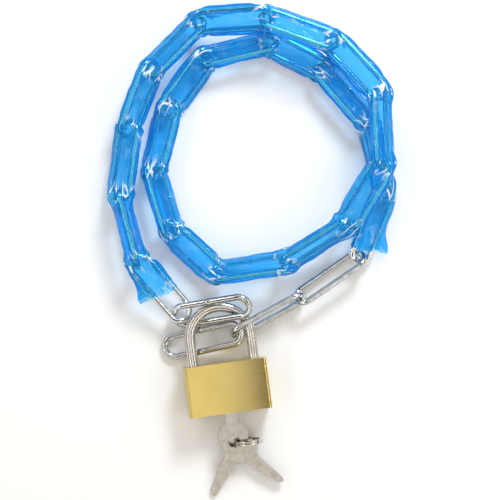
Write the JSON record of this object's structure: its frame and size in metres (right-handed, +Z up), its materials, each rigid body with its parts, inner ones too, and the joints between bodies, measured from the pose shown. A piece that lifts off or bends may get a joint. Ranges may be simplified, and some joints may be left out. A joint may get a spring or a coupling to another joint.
{
  "type": "chain lock",
  "caption": "Small brass key padlock closing a welded link chain in a clear soft sleeve, coiled in two rounds, with keys on a split ring.",
  "frame": {"origin": "middle of the footprint on the surface the lock lies on", "axes": "+Z up from the surface, +Y from the keys to the far end of the coil, along the padlock's legs, +X to the right seen from above"},
  "size_m": [0.1378, 0.2242, 0.0285],
  "materials": {
    "body_brass": "brushed, lacquered brass",
    "works_brass": "turned brass",
    "shackle_chrome": "polished, chrome-plated hardened steel",
    "spring_steel": "drawn spring wire",
    "key_nickel": "nickel-plated brass, machined",
    "ring_steel": "nickel-plated spring steel",
    "link_zinc": "bright zinc-plated welded steel",
    "sleeve_vinyl": "clear, faintly blue soft vinyl"
  },
  "bodies": {
    "coil": {"sleeve": "sleeve_vinyl", "link_02": "link_zinc", "link_03": "link_zinc", "link_04": "link_zinc", "link_05": "link_zinc", "link_06": "link_zinc", "link_07": "link_zinc", "link_08": "link_zinc", "link_09": "link_zinc", "link_10": "link_zinc", "link_11": "link_zinc", "link_12": "link_zinc", "link_13": "link_zinc", "link_14": "link_zinc", "link_15": "link_zinc", "link_16": "link_zinc", "link_17": "link_zinc", "link_18": "link_zinc", "link_19": "link_zinc", "link_20": "link_zinc", "link_21": "link_zinc", "link_22": "link_zinc"},
    "end_link": {"link_01": "link_zinc"},
    "loop_link_a": {"link_23": "link_zinc"},
    "loop_link_b": {"link_24": "link_zinc"},
    "loop_link_c": {"link_25": "link_zinc"},
    "shackle": {"shackle": "shackle_chrome"},
    "lock": {"lock_body": "body_brass", "shackle_pin": "spring_steel", "latch_plug": "works_brass", "plug_pin": "spring_steel", "shackle_spring": "spring_steel", "latch_spring": "spring_steel", "driver_pin_1": "works_brass", "driver_pin_2": "works_brass", "driver_pin_3": "works_brass", "driver_pin_4": "works_brass", "pin_spring_1": "spring_steel", "pin_spring_2": "spring_steel", "pin_spring_3": "spring_steel", "pin_spring_4": "spring_steel", "chamber_plug_1": "works_brass", "chamber_plug_2": "works_brass", "chamber_plug_3": "works_brass", "chamber_plug_4": "works_brass"},
    "latch": {"latch": "works_brass"},
    "plug": {"plug": "works_brass", "key_pin_1": "works_brass", "key_pin_2": "works_brass", "key_pin_3": "works_brass", "key_pin_4": "works_brass"},
    "key_1": {"key_1": "key_nickel"},
    "ring": {"split_ring": "ring_steel"},
    "key_2": {"key_2": "key_nickel"},
    "key_3": {"key_3": "key_nickel"}
  },
  "joints": [
    {"name": "end_link_roll", "type": "hinge", "parent": "coil", "child": "end_link", "pos_m": [-0.0275, -0.0265, 0.01], "axis": [-0.9551, -0.0367, -0.2939], "range_deg": [-2, 3]},
    {"name": "loop_link_a_roll", "type": "hinge", "parent": "coil", "child": "loop_link_a", "pos_m": [0.02825, -0.0185, 0.00625], "axis": [-0.8913, -0.4532, 0.0151], "range_deg": [-8, 6]},
    {"name": "loop_link_b_roll", "type": "hinge", "parent": "coil", "child": "loop_link_b", "pos_m": [-0.002, -0.032, 0.00675], "axis": [-0.9325, -0.361, 0.015], "range_deg": [-6, 6]},
    {"name": "loop_link_c_roll", "type": "hinge", "parent": "coil", "child": "loop_link_c", "pos_m": [-0.03325, -0.0395, 0.0045], "axis": [-0.9833, -0.0936, -0.1561], "range_deg": [-6, 8]},
    {"name": "shackle_swing", "type": "hinge", "parent": "coil", "child": "shackle", "pos_m": [-0.013, -0.035, 0.0085], "axis": [0, 0, 1], "range_deg": [-2, 2]},
    {"name": "lock_lift", "type": "slide", "parent": "shackle", "child": "lock", "axis": [0, -1, 0], "range_m": [0, 0.011], "deforming": ["shackle_spring"]},
    {"name": "plug_turn", "type": "hinge", "parent": "lock", "child": "plug", "pos_m": [-0.025, -0.062, 0.0085], "axis": [0, -1, 0], "range_deg": [0, 90]},
    {"name": "latch_slide", "type": "slide", "parent": "lock", "child": "latch", "axis": [-0.9945, 0, 0.1045], "range_m": [0, 0.004], "deforming": ["latch_spring"]},
    {"name": "key_slide", "type": "slide", "parent": "plug", "child": "key_1", "axis": [0, -1, 0], "range_m": [0, 0.02]},
    {"name": "ring_swing", "type": "hinge", "parent": "key_1", "child": "ring", "pos_m": [-0.025, -0.0883, 0.0085], "axis": [0, 0, 1], "range_deg": [-45, 45]},
    {"name": "key_2_swing", "type": "hinge", "parent": "ring", "child": "key_2", "pos_m": [-0.0226, -0.0889, 0.0025], "axis": [0, -0.0698, 0.9976], "range_deg": [-45, 20]},
    {"name": "key_3_swing", "type": "hinge", "parent": "ring", "child": "key_3", "pos_m": [-0.0242, -0.0889, 0.00445], "axis": [0, -0.0698, 0.9976], "range_deg": [-45, 25]}
  ],
  "couplings": [
    {"joint": "lock_lift", "follows": "plug_turn", "m_per_rad": 0.0070028},
    {"joint": "latch_slide", "follows": "plug_turn", "m_per_rad": 0.0025465}
  ]
}
